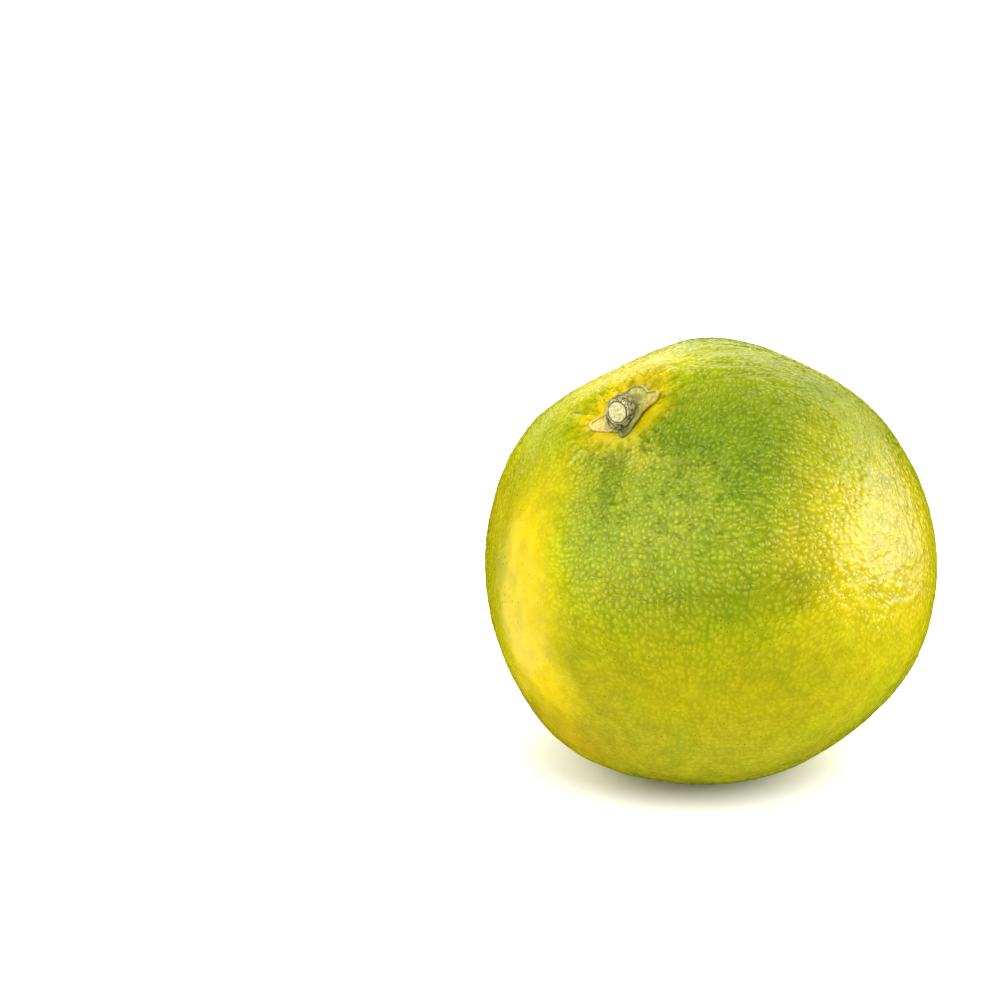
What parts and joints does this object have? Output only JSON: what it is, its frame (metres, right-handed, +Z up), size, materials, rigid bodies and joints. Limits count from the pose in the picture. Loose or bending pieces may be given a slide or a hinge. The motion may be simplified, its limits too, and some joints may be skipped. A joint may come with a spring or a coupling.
{
  "type": "mandarin orange",
  "caption": "Whole loose-skinned mandarin orange, green turning yellow, with a lobed calyx and a short clipped stem, resting on a small flat spot.",
  "frame": {"origin": "middle of the flat spot that the fruit rests on", "axes": "+Z up; the fruit's core leans 30 degrees from +Z, towards -X and -Y, so the stem end faces up, left and forward"},
  "size_m": [0.0674, 0.0672, 0.064],
  "materials": {
    "rind": "satin",
    "calyx": "matte",
    "stem": "matte"
  },
  "bodies": {
    "root": {"fruit": "rind", "calyx": "calyx", "stem": "stem"}
  },
  "joints": []
}
